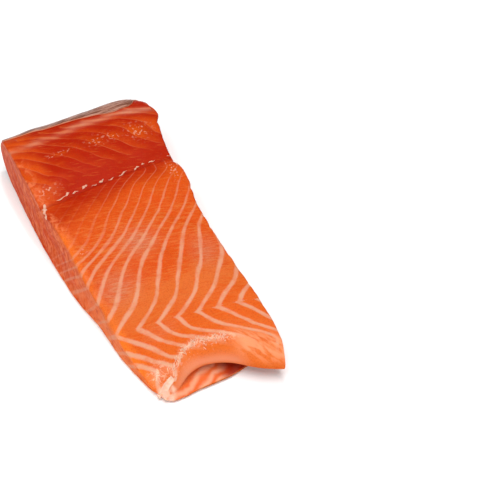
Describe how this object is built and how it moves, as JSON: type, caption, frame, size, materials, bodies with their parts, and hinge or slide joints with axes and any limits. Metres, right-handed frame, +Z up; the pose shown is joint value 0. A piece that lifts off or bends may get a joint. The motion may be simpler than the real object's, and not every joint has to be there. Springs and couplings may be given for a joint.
{
  "type": "raw salmon fillet",
  "caption": "Raw salmon fillet portion lying skin down: thick rounded back end, pin-bone valley, flat flaky belly and a thin end with an overhanging rim.",
  "frame": {"origin": "middle of the portion's box in plan, on the surface that it lies on", "axes": "+Z up, +Y across the fish from the thin belly end to the thick back end, +X along the fish between the two knife cuts"},
  "size_m": [0.0695, 0.1623, 0.0253],
  "materials": {
    "flesh": "moist raw flesh, orange red with pale fat lines",
    "skin": "moist silver grey scaled skin"
  },
  "bodies": {
    "root": {"flesh": "flesh", "skin": "skin"}
  },
  "joints": []
}
